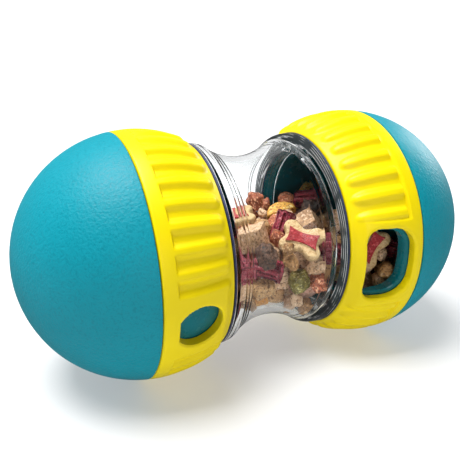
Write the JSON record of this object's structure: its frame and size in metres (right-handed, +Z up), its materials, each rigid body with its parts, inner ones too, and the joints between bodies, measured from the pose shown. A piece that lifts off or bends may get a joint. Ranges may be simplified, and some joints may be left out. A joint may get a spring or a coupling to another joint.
{
  "type": "dog treat puzzle",
  "caption": "Rolling hourglass treat puzzle for dogs: clear waisted body filled with treats, teal domed screw caps and ribbed yellow rings that turn to open or shut a treat outlet.",
  "frame": {"origin": "centre of the waist, on the long axis", "axes": "+X along the long axis towards the open outlet's end, -Y the front, +Z up"},
  "size_m": [0.1552, 0.0792, 0.0792],
  "materials": {
    "clear_plastic": "clear polished plastic",
    "seal_rubber": "soft matte washer",
    "teal_gloss": "moulded gloss",
    "teal_matte": "fine textured soft-touch",
    "yellow_matte": "satin moulded",
    "treat_beige": "dry baked, crumbly",
    "treat_cream": "baked biscuit",
    "treat_filling": "glazed red filling",
    "treat_raspberry": "grainy dried meat stick",
    "treat_terracotta": "rough dry",
    "treat_olive": "rough dry",
    "treat_brown": "rough dry",
    "treat_amber": "waxy amber",
    "treat_tan": "dry kibble",
    "treat_pink": "pale dried meat"
  },
  "bodies": {
    "body": {"clear_body": "clear_plastic", "treat_cubes": "treat_beige", "treat_biscuits": "treat_cream", "treat_biscuit_fillings": "treat_filling", "treat_sticks": "treat_raspberry", "treat_nuggets": "treat_terracotta", "treat_green_nuggets": "treat_olive", "treat_dark_nuggets": "treat_brown", "treat_half_moons": "treat_amber", "treat_kibbles": "treat_tan", "treat_chunks": "treat_pink"},
    "left_washer": {"left_seal": "seal_rubber"},
    "left_cap": {"left_sleeve": "teal_gloss", "left_dome": "teal_matte"},
    "left_turning_ring": {"left_ring": "yellow_matte"},
    "right_washer": {"right_seal": "seal_rubber"},
    "right_cap": {"right_sleeve": "teal_gloss", "right_dome": "teal_matte"},
    "right_turning_ring": {"right_ring": "yellow_matte"}
  },
  "joints": [
    {"name": "left_cap_lift", "type": "slide", "parent": "body", "child": "left_washer", "axis": [-1, 0, 0], "range_m": [0, 0.0058]},
    {"name": "left_cap_turn", "type": "hinge", "parent": "left_washer", "child": "left_cap", "pos_m": [-0.022, 0, 0], "axis": [-1, 0, 0], "range_deg": [0, 320]},
    {"name": "left_ring_turn", "type": "hinge", "parent": "left_cap", "child": "left_turning_ring", "pos_m": [-0.032, 0, 0], "axis": [-1, 0, 0], "range_deg": [0, 90]},
    {"name": "right_cap_lift", "type": "slide", "parent": "body", "child": "right_washer", "axis": [1, 0, 0], "range_m": [0, 0.0058]},
    {"name": "right_cap_turn", "type": "hinge", "parent": "right_washer", "child": "right_cap", "pos_m": [0.022, 0, 0], "axis": [1, 0, 0], "range_deg": [0, 320]},
    {"name": "right_ring_turn", "type": "hinge", "parent": "right_cap", "child": "right_turning_ring", "pos_m": [0.032, 0, 0], "axis": [-1, 0, 0], "range_deg": [0, 90]}
  ],
  "couplings": [
    {"joint": "left_cap_lift", "follows": "left_cap_turn", "m_per_rad": 0.0010385},
    {"joint": "right_cap_lift", "follows": "right_cap_turn", "m_per_rad": 0.0010385}
  ]
}
